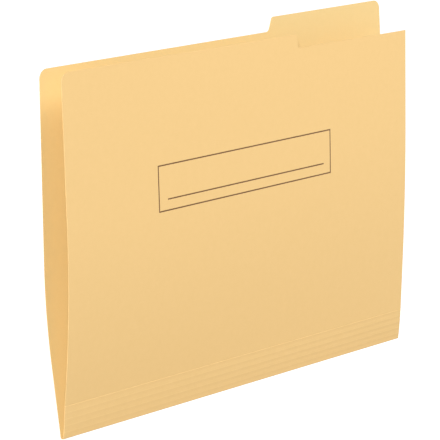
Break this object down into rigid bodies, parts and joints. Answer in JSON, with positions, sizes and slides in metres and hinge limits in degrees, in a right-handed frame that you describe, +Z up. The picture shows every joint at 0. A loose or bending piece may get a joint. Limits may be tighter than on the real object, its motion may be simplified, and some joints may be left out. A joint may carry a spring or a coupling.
{
  "type": "file folder",
  "caption": "Landscape file folder of creased card with an index tab, a recessed front panel and score lines above the fold, so it swings open and expands at the base.",
  "frame": {"origin": "middle of the folded edge, on the surface that the folder stands on", "axes": "+X along the fold to the right as seen from the front, +Y from the front panel to the back panel, +Z up from the fold"},
  "size_m": [0.318, 0.0281, 0.2332],
  "materials": {
    "manila_card": "matte",
    "creased_card": "matte"
  },
  "bodies": {
    "spine": {"spine": "manila_card", "fold_crease_back": "creased_card", "fold_crease_front": "creased_card"},
    "back_panel": {"back_panel": "manila_card"},
    "scored_base": {"score_strip_1": "manila_card", "score_crease_1": "creased_card", "score_strip_2": "manila_card", "score_crease_2": "creased_card", "score_strip_3": "manila_card", "score_crease_3": "creased_card", "score_strip_4": "manila_card", "score_crease_4": "creased_card", "score_strip_5": "manila_card", "score_crease_5": "creased_card"},
    "front_panel": {"front_panel": "manila_card"}
  },
  "joints": [
    {"name": "back_fold", "type": "hinge", "parent": "spine", "child": "back_panel", "pos_m": [0, 0.001, 0.00025], "axis": [-1, 0, 0], "range_deg": [-2, 80]},
    {"name": "front_fold", "type": "hinge", "parent": "spine", "child": "scored_base", "pos_m": [0, -0.001, 0.00025], "axis": [1, 0, 0], "range_deg": [0, 80]},
    {"name": "score_5", "type": "hinge", "parent": "scored_base", "child": "front_panel", "pos_m": [0, -0.00272, 0.02117], "axis": [1, 0, 0], "range_deg": [-80, 0]}
  ],
  "couplings": [
    {"joint": "score_5", "follows": "front_fold", "ratio": -1}
  ]
}
